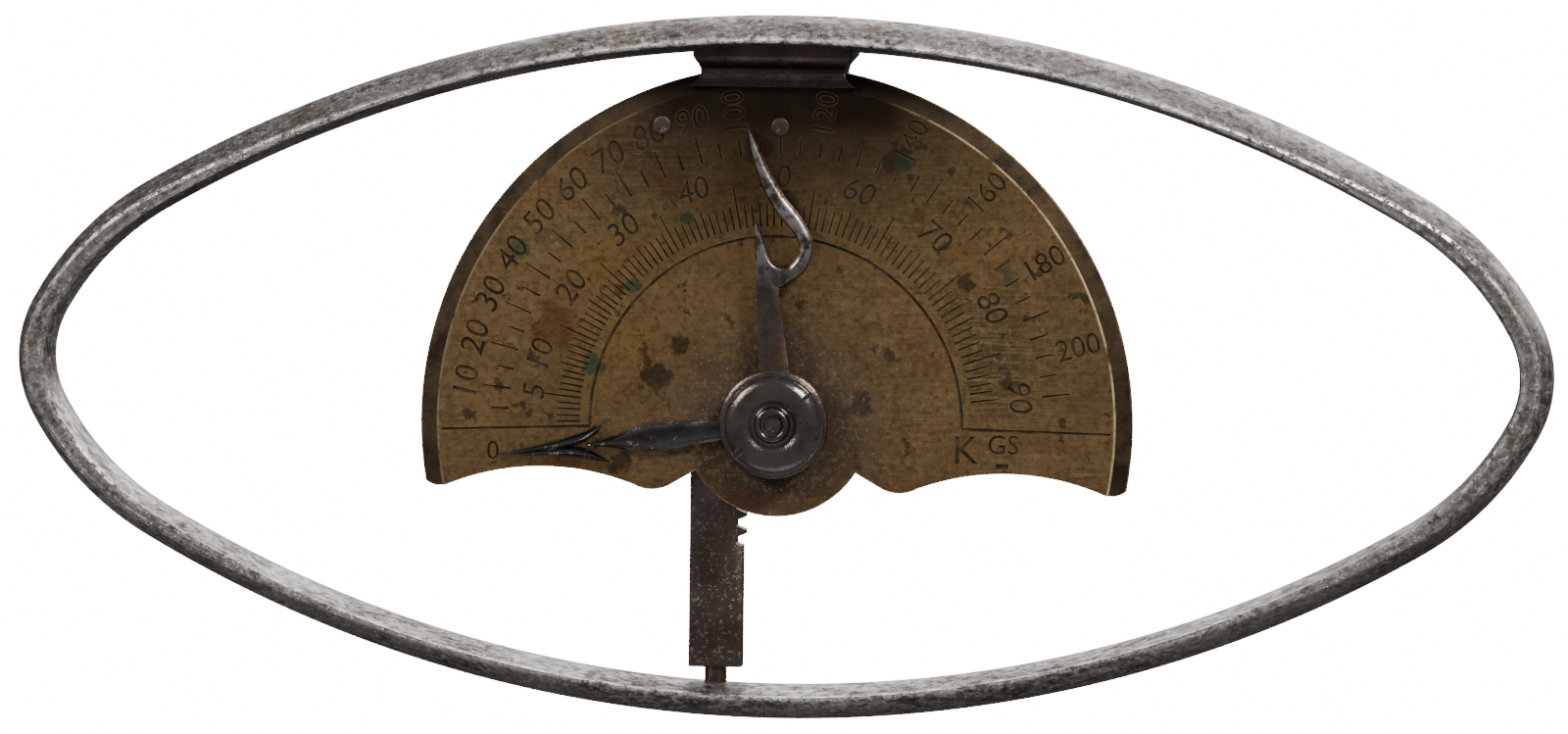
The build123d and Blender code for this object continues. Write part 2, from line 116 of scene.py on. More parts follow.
def studio_world(seen, lighting):
    """White behind the object. The metal mirrors a dimmer grey, lighter from below and dark from behind."""
    world = bpy.data.worlds.new("studio")
    bpy.context.scene.world = world
    world.use_nodes = True
    nodes = world.node_tree.nodes
    links = world.node_tree.links
    dim = nodes["Background"]
    dim.inputs["Color"].default_value = (1, 1, 1, 1)
    way = nodes.new("ShaderNodeSeparateXYZ")
    links.new(nodes.new("ShaderNodeTexCoord").outputs["Generated"], way.inputs[0])
    below = nodes.new("ShaderNodeMapRange")
    links.new(way.outputs["Z"], below.inputs["Value"])
    for socket, value in (("From Min", -0.99), ("From Max", -0.80), ("To Min", 0.55), ("To Max", 0.0)):
        below.inputs[socket].default_value = value
    behind = nodes.new("ShaderNodeMapRange")
    links.new(way.outputs["Y"], behind.inputs["Value"])
    for socket, value in (("From Min", 0.40), ("From Max", 0.80), ("To Min", lighting), ("To Max", 0.05)):
        behind.inputs[socket].default_value = value
    total = nodes.new("ShaderNodeMath")
    links.new(below.outputs["Result"], total.inputs[0])
    links.new(behind.outputs["Result"], total.inputs[1])
    links.new(total.outputs[0], dim.inputs["Strength"])
    bright = nodes.new("ShaderNodeBackground")
    bright.inputs["Strength"].default_value = seen
    rays = nodes.new("ShaderNodeLightPath")
    either = nodes.new("ShaderNodeMixShader")
    links.new(rays.outputs["Is Camera Ray"], either.inputs["Fac"])
    links.new(dim.outputs["Background"], either.inputs[1])
    links.new(bright.outputs["Background"], either.inputs[2])
    links.new(either.outputs["Shader"], nodes["World Output"].inputs["Surface"])


WHITE_BEHIND = 20.0
MIRRORED_GREY = 0.23
studio_world(WHITE_BEHIND, MIRRORED_GREY)


# ---- material helpers ----
def new_material(name):
    material = bpy.data.materials.new(name)
    material.use_nodes = True
    nodes = material.node_tree.nodes
    nodes.clear()
    output = nodes.new("ShaderNodeOutputMaterial")
    shader = nodes.new("ShaderNodeBsdfPrincipled")
    material.node_tree.links.new(shader.outputs["BSDF"], output.inputs["Surface"])
    return material, shader


class Mixer:
    """Short names for the nodes that the finishes are made of."""

    def __init__(self, material):
        self.tree = material.node_tree
        self.place = self.add("ShaderNodeTexCoord").outputs["Object"]

    def add(self, kind):
        return self.tree.nodes.new(kind)

    def link(self, value, socket):
        if isinstance(value, bpy.types.NodeSocket):
            self.tree.links.new(value, socket)
        else:
            socket.default_value = value

    def spread(self, scale, offset=(0, 0, 0), turn=(0, 0, 0)):
        """Object coordinates moved, turned and stretched."""
        mapping = self.add("ShaderNodeMapping")
        self.link(self.place, mapping.inputs["Vector"])
        mapping.inputs["Location"].default_value = offset
        mapping.inputs["Rotation"].default_value = turn
        mapping.inputs["Scale"].default_value = scale
        return mapping.outputs["Vector"]

    def moved(self, offset):
        """Object coordinates moved only."""
        return self.spread((1, 1, 1), offset)

    def noise(self, scale, detail=4.0, roughness=0.6, place=None, distortion=0.0):
        node = self.add("ShaderNodeTexNoise")
        self.link(place or self.place, node.inputs["Vector"])
        node.inputs["Scale"].default_value = scale
        node.inputs["Detail"].default_value = detail
        node.inputs["Roughness"].default_value = roughness
        node.inputs["Distortion"].default_value = distortion
        return node.outputs["Fac"]

    def ramp(self, value, low, high, out_low=0.0, out_high=1.0):
        node = self.add("ShaderNodeMapRange")
        node.interpolation_type = "SMOOTHSTEP"
        self.link(value, node.inputs["Value"])
        node.inputs["From Min"].default_value = low
        node.inputs["From Max"].default_value = high
        node.inputs["To Min"].default_value = out_low
        node.inputs["To Max"].default_value = out_high
        return node.outputs["Result"]

    def math(self, kind, first, second=0.0):
        node = self.add("ShaderNodeMath")
        node.operation = kind
        self.link(first, node.inputs[0])
        self.link(second, node.inputs[1])
        return node.outputs[0]

    def times(self, first, second):
        return self.math("MULTIPLY", first, second)

    def length(self, aside, above):
        """How far off a place is, from two measures square to each other."""
        return self.math("SQRT", self.math("ADD", self.times(aside, aside), self.times(above, above)))

    def blend(self, share, first, second):
        """One colour laid over another by a share from 0 to 1."""
        node = self.add("ShaderNodeMix")
        node.data_type = "RGBA"
        node.clamp_factor = True
        self.link(share, node.inputs["Factor"])
        self.link(colour(first), node.inputs["A"])
        self.link(colour(second), node.inputs["B"])
        return node.outputs["Result"]

    def edge(self, radius, low, high):
        """How much a spot lies on an edge: the bevelled normal against the real one."""
        bevel = self.add("ShaderNodeBevel")
        bevel.samples = 6
        bevel.inputs["Radius"].default_value = radius
        normal = self.add("ShaderNodeNewGeometry").outputs["Normal"]
        node = self.add("ShaderNodeVectorMath")
        node.operation = "DOT_PRODUCT"
        self.link(bevel.outputs["Normal"], node.inputs[0])
        self.link(normal, node.inputs[1])
        return self.ramp(self.math("SUBTRACT", 1.0, node.outputs["Value"]), low, high)

    def bump(self, height, distance, strength=1.0, under=None):
        node = self.add("ShaderNodeBump")
        node.inputs["Strength"].default_value = strength
        node.inputs["Distance"].default_value = distance
        self.link(height, node.inputs["Height"])
        if under is not None:
            self.link(under, node.inputs["Normal"])
        return node.outputs["Normal"]

    def spot(self, x, z, middle, size):
        """A ragged round patch on the dial: 1 inside and 0 outside. Its place and size are in millimetres."""
        aside = self.math("SUBTRACT", x, middle[0] * MM)
        above = self.math("SUBTRACT", z, middle[1] * MM)
        far = self.length(aside, above)
        ragged = self.ramp(self.noise(700, 4, 0.7), 0.32, 0.68, -0.45 * size * MM, 0.45 * size * MM)
        return self.ramp(self.math("ADD", far, ragged), size * 1.15 * MM, size * 0.75 * MM)

    def from_pivot(self):
        """How far to the right of the dial's pivot a place is, and how far above it."""
        node = self.add("ShaderNodeSeparateXYZ")
        self.link(self.moved((-PIVOT.x, 0, -PIVOT.z)), node.inputs[0])
        return node.outputs["X"], node.outputs["Z"]


def colour(value):
    if isinstance(value, tuple) and len(value) == 3:
        return (*value, 1.0)
    return value


def metal(shader, mixer, base, roughness, normal=None, metallic=1.0):
    mixer.link(base, shader.inputs["Base Color"])
    mixer.link(roughness, shader.inputs["Roughness"])
    mixer.link(metallic, shader.inputs["Metallic"])
    if normal is not None:
        mixer.link(normal, shader.inputs["Normal"])


# ---- finishes ----
def pitted_spring_steel():
    """Old spring steel: pitted grey-brown faces, worn bright arrises that also carry a painted highlight,
    dark patches in the pits.
    """
    material, shader = new_material("pitted_spring_steel")
    m = Mixer(material)
    patches = m.noise(120, 5, 0.65)
    cloud = m.noise(30, 4, 0.55)
    specks = m.noise(1900, 5, 0.72)
    streaks = m.noise(1, 4, 0.7, m.spread((300, 2600, 700)))
    pits = m.ramp(m.noise(1150, 6, 0.75), 0.50, 0.60)
    deep = m.ramp(m.noise(420, 6, 0.72), 0.56, 0.64)
    peel = m.noise(1300, 4, 0.6)
    worn = m.edge(0.00100, 0.006, 0.07)
    base = m.blend(m.ramp(patches, 0.36, 0.64), (0.39, 0.355, 0.325), (0.165, 0.135, 0.115))
    base = m.blend(m.ramp(cloud, 0.42, 0.66, 0.0, 0.6), base, (0.225, 0.185, 0.155))
    base = m.blend(m.ramp(specks, 0.50, 0.62, 0.0, 0.75), base, (0.60, 0.575, 0.545))
    base = m.blend(m.ramp(streaks, 0.52, 0.66, 0.0, 0.45), base, (0.66, 0.64, 0.61))
    base = m.blend(m.times(pits, m.ramp(patches, 0.36, 0.6, 0.20, 0.75)), base, (0.070, 0.053, 0.043))
    base = m.blend(m.times(deep, 0.65), base, (0.045, 0.031, 0.025))
    # Worn arrises, lightened nearly to white, so that they also paint the highlight along the arris.
    worn = m.times(worn, m.ramp(m.noise(1100, 5, 0.8), 0.42, 0.52))
    base = m.blend(worn, base, (0.97, 0.93, 0.88))
    rough = m.ramp(patches, 0.35, 0.7, 0.27, 0.44)
    rough = m.math("ADD", rough, m.ramp(peel, 0.4, 0.7, -0.04, 0.12))
    rough = m.math("ADD", rough, m.times(pits, 0.16))
    rough = m.math("SUBTRACT", rough, m.times(worn, 0.10))
    normal = m.bump(pits, 0.00009, 1.0)
    normal = m.bump(deep, 0.00014, 0.9, normal)
    normal = m.bump(peel, 0.00004, 1.0, normal)
    metal(shader, m, base, rough, m.bump(cloud, 0.0005, 0.25, normal))
    return material


# stains on the dial, each with its middle and its size in millimetres from the pivot
DARK_STAINS = (
    ((-9.8, 3.6), 1.15), ((7.0, 2.0), 0.95), ((-12.7, -3.5), 0.85), ((-8.1, 6.1), 0.8),
    ((15.5, 11.6), 0.7), ((-1.9, 22.4), 1.1), ((9.5, 21.5), 1.3),
)
RED_STAINS = (
    ((-5.6, 4.4), 1.2), ((-18.2, 7.6), 1.6), ((-8.6, 19.5), 1.3), ((-2.0, -6.9), 1.6),
    ((11.5, 17.2), 0.7), ((-17.0, -4.2), 1.6),
)
GREEN_STAINS = (
    ((-14.9, 4.3), 0.9), ((-20.8, 13.8), 0.8), ((-11.6, 10.9), 0.6), ((-7.4, 16.6), 0.5),
    ((10.2, 20.9), 0.7), ((1.0, 18.2), 0.8),
)
# the radius of the painted highlight along the rim's arris
RIM_HIGHLIGHT_LINE = RIM_FROM - 0.32 * MM


def darker_top(m, base, x, z):
    """Painted shade: the dial is darkened towards its top, under the ring and the foot, and painted nearly
    black beside the foot.
    """
    top = m.times(m.ramp(z, 0.010, 0.025), m.ramp(m.math("ABSOLUTE", x), 0.023, 0.004))
    base = m.blend(m.times(top, 0.88), base, (0.060, 0.042, 0.028))
    shade_by_foot = m.times(m.ramp(z, 0.0225, 0.0252), m.ramp(m.math("ABSOLUTE", x), 0.0125, 0.0080))
    return m.blend(m.times(shade_by_foot, 0.90), base, (0.032, 0.023, 0.018))


def aged_brass():
    """Engraved dial brass: olive brown, brushed along X, with dark stains, rust dust and verdigris, a painted
    highlight along the rim's arris and painted shade towards the top.
    """
    material, shader = new_material("aged_brass")
    m = Mixer(material)
    x, z = m.from_pivot()
    radius = m.length(x, z)
    stains = m.noise(85, 6, 0.62, distortion=0.4)
    spots = m.noise(420, 4, 0.65, m.moved((0.5, 0.1, 0.3)))
    brushed = m.noise(1, 4, 0.7, m.spread((260, 900, 5200)))
    grain = m.noise(2300, 5, 0.7)
    base = m.blend(m.ramp(m.noise(34, 4, 0.6), 0.35, 0.66), (0.410, 0.246, 0.108), (0.290, 0.180, 0.086))
    base = m.blend(m.ramp(m.noise(60, 4, 0.6, m.moved((0.7, 0.2, 0.4))), 0.52, 0.68, 0.0, 0.5), base,
                   (0.40, 0.235, 0.060))
    base = m.blend(m.ramp(stains, 0.48, 0.68, 0.0, 0.85), base, (0.105, 0.070, 0.038))
    base = m.blend(m.ramp(brushed, 0.45, 0.66, 0.0, 0.50), base, (0.47, 0.315, 0.150))
    base = m.blend(m.ramp(grain, 0.50, 0.62, 0.0, 0.50), base, (0.120, 0.080, 0.044))
    base = m.blend(m.ramp(grain, 0.36, 0.47, 0.28, 0.0), base, (0.56, 0.41, 0.22))
    base = m.blend(m.ramp(spots, 0.57, 0.66, 0.0, 0.85), base, (0.060, 0.040, 0.026))
    red = m.times(m.ramp(m.noise(130, 4, 0.6, m.moved((0.3, 0.1, 0.7))), 0.60, 0.69),
                  m.ramp(m.noise(1300, 4, 0.7), 0.47, 0.60, 0.0, 0.55))
    low_red = m.times(m.ramp(z, -0.0035, -0.0062, 0.0, 0.7), m.ramp(m.noise(500, 4, 0.7), 0.44, 0.60))
    base = m.blend(m.math("MAXIMUM", red, low_red), base, (0.220, 0.078, 0.036))
    for middle, size in DARK_STAINS:
        base = m.blend(m.times(m.spot(x, z, middle, size), 0.78), base, (0.055, 0.045, 0.032))
    for middle, size in RED_STAINS:
        base = m.blend(m.times(m.spot(x, z, middle, size), 0.5), base, (0.200, 0.060, 0.028))
    for middle, size in GREEN_STAINS:
        base = m.blend(m.times(m.spot(x, z, middle, size), 0.75), base, (0.060, 0.135, 0.085))
    green = m.times(m.ramp(m.noise(150, 4, 0.6, m.moved((0.9, 0.4, 0.2))), 0.57, 0.68),
                    m.ramp(m.noise(900, 3, 0.6), 0.46, 0.60, 0.0, 0.5))
    base = m.blend(green, base, (0.060, 0.125, 0.075))
    dust = m.times(m.ramp(radius, 0.0050, 0.0120, 0.95, 0.0), m.ramp(m.noise(2000, 4, 0.75), 0.38, 0.54))
    base = m.blend(dust, base, (0.105, 0.078, 0.062))
    glints = m.times(m.ramp(radius, 0.0050, 0.0150, 0.8, 0.3), m.ramp(m.noise(4200, 2, 0.6), 0.66, 0.70))
    base = m.blend(glints, base, (0.66, 0.58, 0.46))
    rim = m.times(m.ramp(radius, RIM_FROM - 0.00040, RIM_FROM - 0.00025),
                  m.ramp(m.noise(240, 3, 0.6), 0.30, 0.62, 0.80, 0.98))
    rim_brown = m.ramp(m.noise(420, 4, 0.7), 0.45, 0.62)
    base = m.blend(rim, base, m.blend(rim_brown, (0.070, 0.048, 0.031), (0.034, 0.026, 0.020)))
    # Painted highlight: a thin golden line along the rim's arris, stronger towards the right, where the key
    # lamp falls.
    off_highlight_line = m.math("ABSOLUTE", m.math("SUBTRACT", radius, RIM_HIGHLIGHT_LINE))
    line = m.times(m.ramp(off_highlight_line, 0.00013, 0.00004),
                   m.times(m.ramp(x, -0.010, 0.014, 0.25, 1.0), m.ramp(m.noise(380, 4, 0.7), 0.36, 0.52)))
    base = m.blend(line, base, (0.95, 0.72, 0.40))
    # painted shade towards the top and beside the foot
    base = darker_top(m, base, x, z)
    # Rubbed brass edges, kept to the rim and the lower edges, where they also stand in as a painted highlight
    # along the arris.
    outline = m.math("MAXIMUM", m.ramp(radius, RIM_FROM - 0.00045, RIM_FROM - 0.00030, 0.25, 1.0),
                     m.ramp(z, -0.0030, -0.0034))
    worn = m.times(m.edge(0.00025, 0.015, 0.15), m.ramp(m.noise(260, 4, 0.7), 0.36, 0.60))
    base = m.blend(m.times(worn, outline), base, (0.66, 0.47, 0.22))
    rough = m.ramp(stains, 0.4, 0.72, 0.36, 0.55)
    rough = m.math("ADD", rough, m.ramp(spots, 0.5, 0.7, 0.0, 0.15))
    rough = m.math("ADD", rough, m.ramp(dust, 0.0, 1.0, 0.0, 0.2))
    rough = m.math("ADD", rough, m.times(rim, 0.12))
    normal = m.bump(brushed, 0.00001, 0.6)
    normal = m.bump(spots, 0.00004, 0.5, normal)
    normal = m.bump(m.noise(1600, 4, 0.7), 0.00003, 0.5, normal)
    metal(shader, m, base, rough, normal)
    return material


def engraving():
    """The bottom of the engraved lines: nearly black dirt, green with verdigris here and there, and darkened
    towards the top by the dial's painted shade.
    """
    material, shader = new_material("engraving")
    m = Mixer(material)
    green = m.ramp(m.noise(75, 4, 0.6, m.moved((0.2, 0.5, 0.1))), 0.52, 0.66)
    base = m.blend(m.ramp(m.noise(700, 3, 0.6), 0.35, 0.7), (0.052, 0.035, 0.021), (0.150, 0.100, 0.058))
    base = m.blend(m.times(green, 0.5), base, (0.040, 0.088, 0.058))
    x, z = m.from_pivot()
    # painted shade towards the top and beside the foot, the same as on the dial
    base = darker_top(m, base, x, z)
    metal(shader, m, base, 0.7, m.bump(m.noise(2500, 3, 0.6), 0.00002, 0.6), metallic=0.9)
    return material


def dark_steel(name, light, dark, rust, shine, pitting, rust_share=0.5, worn_colour=(0.62, 0.60, 0.58),
               worn_share=0.8, grain=1150):
    """Oiled or blued steel with pits, rust freckles and bright edges."""
    material, shader = new_material(name)
    m = Mixer(material)
    patches = m.noise(240, 5, 0.62)
    fine = m.noise(2200, 5, 0.65)
    freckles = m.ramp(m.noise(grain, 4, 0.65), 0.56, 0.68)
    base = m.blend(m.ramp(patches, 0.36, 0.68), light, dark)
    rusty = m.times(freckles, m.ramp(m.noise(170, 3, 0.6), 0.42, 0.64, 0.15, rust_share + 0.15))
    base = m.blend(rusty, base, rust)
    worn = m.times(m.edge(0.00016, 0.02, 0.2), m.ramp(m.noise(600, 4, 0.7), 0.36, 0.58))
    base = m.blend(m.times(worn, worn_share), base, worn_colour)
    rough = m.ramp(patches, 0.35, 0.7, shine, shine + 0.16)
    rough = m.math("ADD", rough, m.times(freckles, 0.2))
    normal = m.bump(fine, 0.00003 * pitting, 0.8)
    metal(shader, m, base, rough, m.bump(freckles, 0.00005 * pitting, 0.6, normal))
    return material


def rubbed_pointer_steel():
    """The maximum pointer: brown steel at its foot, rubbed bright along its curled finger, where the
    lightening is also a painted highlight.
    """
    material, shader = new_material("rubbed_pointer_steel")
    m = Mixer(material)
    z = m.from_pivot()[1]
    patches = m.noise(300, 5, 0.65)
    fine = m.noise(2200, 4, 0.65)
    base = m.blend(m.ramp(patches, 0.36, 0.66), (0.165, 0.130, 0.112), (0.080, 0.060, 0.050))
    # Rubbed steel on the curled finger, lightened further as a painted highlight.
    bright = m.times(m.ramp(z, 0.0105, 0.0150, 0.10, 1.0), m.ramp(m.noise(700, 4, 0.7), 0.38, 0.56))
    base = m.blend(bright, base, (0.50, 0.475, 0.46))
    rust = m.times(m.ramp(z, 0.0085, 0.0060, 0.0, 0.8), m.ramp(m.noise(800, 4, 0.7), 0.46, 0.58))
    rust = m.times(rust, m.ramp(z, 0.0044, 0.0050))
    base = m.blend(rust, base, (0.175, 0.085, 0.045))
    worn = m.times(m.edge(0.00014, 0.02, 0.2), m.ramp(m.noise(900, 4, 0.7), 0.44, 0.58, 0.0, 0.7))
    base = m.blend(worn, base, (0.62, 0.59, 0.57))
    rough = m.math("ADD", m.ramp(patches, 0.35, 0.7, 0.22, 0.36), m.times(rust, 0.2))
    metal(shader, m, base, rough, m.bump(fine, 0.00004, 0.8))
    return material


def turned_dark_steel():
    """The nut: dark polished steel with fine turning rings about its middle."""
    material, shader = new_material("turned_dark_steel")
    m = Mixer(material)
    x, z = m.from_pivot()
    radius = m.length(x, z)
    joined = m.add("ShaderNodeCombineXYZ")
    m.link(radius, joined.inputs["X"])
    rings = m.noise(16000, 3, 0.7, joined.outputs[0])
    patches = m.noise(330, 4, 0.6)
    freckles = m.ramp(m.noise(1800, 4, 0.7), 0.58, 0.70)
    base = m.blend(m.ramp(patches, 0.35, 0.68), (0.215, 0.185, 0.172), (0.110, 0.090, 0.082))
    base = m.blend(m.times(freckles, 0.7), base, (0.055, 0.035, 0.027))
    worn = m.times(m.edge(0.00014, 0.02, 0.2), m.ramp(m.noise(520, 3, 0.6), 0.3, 0.6))
    base = m.blend(worn, base, (0.62, 0.60, 0.59))
    rough = m.math("ADD", m.ramp(patches, 0.35, 0.7, 0.16, 0.26), m.ramp(rings, 0.4, 0.7, -0.03, 0.07))
    normal = m.bump(rings, 0.000012, 0.8)
    metal(shader, m, base, rough, m.bump(m.noise(2400, 4, 0.6), 0.00003, 0.6, normal))
    return material


STEEL_RING = pitted_spring_steel()
BRASS_DIAL = aged_brass()
ENGRAVING = engraving()
BLACK_FOOT = dark_steel("blackened_foot", (0.115, 0.088, 0.074), (0.055, 0.041, 0.036),
                        (0.110, 0.062, 0.040), 0.26, 0.7, 0.4, (0.22, 0.17, 0.14))
DARK_RACK = dark_steel("speckled_rack_steel", (0.200, 0.160, 0.138), (0.090, 0.067, 0.056),
                       (0.24, 0.175, 0.140), 0.34, 1.4, 0.7, (0.60, 0.56, 0.53), grain=2600)
BLUE_POINTER = dark_steel("dark_pointer_steel", (0.125, 0.118, 0.115), (0.050, 0.047, 0.047),
                          (0.15, 0.060, 0.028), 0.22, 1.0, 0.5, (0.48, 0.46, 0.45), 0.5)
BRIGHT_POINTER = rubbed_pointer_steel()
BLUE_SPRING = dark_steel("blued_spring_steel", (0.075, 0.085, 0.115), (0.045, 0.045, 0.055),
                         (0.14, 0.07, 0.04), 0.25, 0.5)
WORKS_BRASS = dark_steel("tarnished_brass", (0.40, 0.29, 0.13), (0.24, 0.165, 0.075),
                         (0.09, 0.055, 0.03), 0.32, 0.7, 0.5, (0.70, 0.52, 0.26))
NUT_STEEL = turned_dark_steel()

FINISHES = {
    "spring_ring": STEEL_RING, "foot_rivets": STEEL_RING,
    "dial_foot": BLACK_FOOT, "foot_pins": BLACK_FOOT,
    "dial_plate": BRASS_DIAL,
    "dial_bush": WORKS_BRASS, "back_bridge": WORKS_BRASS, "bridge_pillars": WORKS_BRASS,
    "arrow_collet": WORKS_BRASS, "pointer_seat": WORKS_BRASS,
    "upper_rack_guide": DARK_RACK, "upper_guide_rivets": DARK_RACK, "lower_rack_guide": DARK_RACK,
    "lower_guide_screws": DARK_RACK, "rack_spring_screw": DARK_RACK, "bridge_screws": DARK_RACK,
    "centre_post": DARK_RACK, "post_nut": DARK_RACK, "pinion": DARK_RACK, "rack": DARK_RACK,
    "rack_spring": BLUE_SPRING, "friction_washer": BLUE_SPRING,
    "arrow_pointer": BLUE_POINTER, "maximum_pointer": BRIGHT_POINTER, "spanner_nut": NUT_STEEL,
}


def dress(piece, material):
    piece.data.materials.clear()
    piece.data.materials.append(material)


for name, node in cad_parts.items():
    dress(node, FINISHES[name])


# ---- modelling helpers ----
def deselect():
    if bpy.context.object and bpy.context.object.mode != "OBJECT":
        bpy.ops.object.mode_set(mode="OBJECT")
    bpy.ops.object.select_all(action="DESELECT")


def hold(piece):
    """Makes one piece the only selected and the active one."""
    deselect()
    piece.select_set(True)
    bpy.context.view_layer.objects.active = piece


def settle(piece, name):
    """Names a piece and puts its place into its mesh."""
    hold(piece)
    bpy.ops.object.transform_apply(location=True, rotation=True, scale=True)
    piece.name = name
    piece.data.name = name
    return piece


def apply_modifier(piece, kind, **settings):
    hold(piece)
    modifier = piece.modifiers.new(kind.lower(), kind)
    for key, value in settings.items():
        setattr(modifier, key, value)
    bpy.ops.object.modifier_apply(modifier=modifier.name)


def smooth(piece, angle=32):
    hold(piece)
    bpy.ops.object.shade_smooth_by_angle(angle=math.radians(angle))


def outward(piece):
    """Merges doubles, then turns every face outwards."""
    hold(piece)
    bpy.ops.object.mode_set(mode="EDIT")
    bpy.ops.mesh.select_all(action="SELECT")
    bpy.ops.mesh.remove_doubles(threshold=0.000002)
    bpy.ops.mesh.normals_make_consistent(inside=False)
    bpy.ops.object.mode_set(mode="OBJECT")


def copy_of(node, name):
    """A merged copy of a CAD node's mesh, its flat faces made whole again."""
    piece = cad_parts[node].copy()
    piece.data = piece.data.copy()
    for key in list(piece.keys()):
        del piece[key]
    piece.parent = None
    bpy.context.scene.collection.objects.link(piece)
    piece.name = name
    piece.data.name = name
    hold(piece)
    bpy.ops.object.mode_set(mode="EDIT")
    bpy.ops.mesh.select_all(action="SELECT")
    bpy.ops.mesh.remove_doubles(threshold=0.000001)
    bpy.ops.mesh.dissolve_limited(angle_limit=math.radians(0.5))
    bpy.ops.object.mode_set(mode="OBJECT")
    return piece


def softened(node, name, width, segments=2, angle=30):
    """A CAD node's shape with its edges rounded."""
    piece = copy_of(node, name)
    apply_modifier(piece, "BEVEL", width=width, segments=segments, limit_method="ANGLE",
                   angle_limit=math.radians(angle), harden_normals=False, miter_outer="MITER_ARC")
    smooth(piece, 40)
    return piece


def mount(piece, body, node, material):
    """Gives a finished piece its body and its finish, and hides the CAD node it stands for."""
    dress(piece, material)
    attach(piece, body)
    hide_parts(node)


# ---- the spring ring ----
ARM_RADIUS = 103.0 * MM
SHOULDER_RADIUS = 25.0 * MM
END_RADIUS = 10.0 * MM
BAND = 2.8 * MM
CROWN = 2.02 * MM
LENS_HALF = 6.15 * MM
ARM_HALF = ring_high.y
END_HALF = 4.3 * MM
FLAT_HALF = 25.0 * MM
WIDTH_MIDWAY = 0.72


def oval_arcs():
    """Centres of the arcs that make a quarter of the oval, in X and Z, and the angles where they meet."""
    arm_centre = Vector((0, HALF_HEIGHT - ARM_RADIUS))
    end_centre = Vector((HALF_LENGTH - END_RADIUS, 0))
    line = end_centre - arm_centre
    to_arm = ARM_RADIUS - SHOULDER_RADIUS
    to_end = SHOULDER_RADIUS - END_RADIUS
    along = (to_arm**2 - to_end**2 + line.length**2) / (2 * line.length)
    aside = math.sqrt(to_arm**2 - along**2)
    line.normalize()
    shoulder_centre = arm_centre + line * along + Vector((-line.y, line.x)) * aside
    arm_end = shoulder_centre - arm_centre
    end_start = end_centre - shoulder_centre
    arm_low = math.atan2(arm_end.y, arm_end.x)
    end_high = math.atan2(end_start.y, end_start.x)
    return arm_centre, shoulder_centre, end_centre, arm_low, end_high


def crown_at(y):
    """How far the band's outer face falls from its crest, at a distance from the band's middle."""
    sag = (LENS_HALF**2 + CROWN**2) / (2 * CROWN)
    return sag - math.sqrt(sag**2 - y * y)


def hollow_at(y):
    """How far the band's inner face falls away, which is less, so that the edge is thin."""
    rise = BAND - CROWN
    sag = (LENS_HALF**2 + rise**2) / (2 * rise)
    return sag - math.sqrt(sag**2 - y * y)


def half_width_at(x):
    """Half the band's width, full along the arms and narrower at the ends."""
    run = (abs(x) - FLAT_HALF) / (HALF_LENGTH + MM - FLAT_HALF)
    if run <= 0:
        return ARM_HALF
    drop = ARM_HALF - END_HALF
    bow = 4 * (WIDTH_MIDWAY - 0.5) * run * (1 - run)
    return END_HALF + drop * (1 - run + bow)


def section_points():
    """The section's corners in turn: each is a share of the half width, and which face it is on."""
    across = 14
    shares = [2 * step / across - 1 for step in range(across + 1)]
    outer = [(share, "outer") for share in shares]
    inner = [(share, "inner") for share in reversed(shares)]
    return outer + [(1, "outer_side"), (1, "inner_side")] + inner + [(-1, "inner_side"), (-1, "outer_side")]


def section_place(share, face, half_width):
    """A section corner's place across the band, and its depth below the outer crest."""
    side = BAND - hollow_at(half_width) - crown_at(half_width)
    arris = min(0.16 * MM, side / 3.2)
    if face == "outer_side":
        return share * half_width, crown_at(half_width) + arris
    if face == "inner_side":
        return share * half_width, BAND - hollow_at(half_width) - arris
    y = share * (half_width - arris)
    if face == "outer":
        return y, crown_at(y)
    return y, BAND - hollow_at(y)


def arc_at(x, z, arcs):
    """The centre and the radius of the oval's arc beside a point."""
    arm_centre, shoulder_centre, end_centre, arm_low, end_high = arcs
    point = Vector((abs(x), abs(z)))
    from_arm = point - arm_centre
    from_end = point - end_centre
    if math.atan2(from_arm.y, from_arm.x) >= arm_low:
        return arm_centre, ARM_RADIUS
    if math.atan2(from_end.y, from_end.x) <= end_high:
        return end_centre, END_RADIUS
    return shoulder_centre, SHOULDER_RADIUS


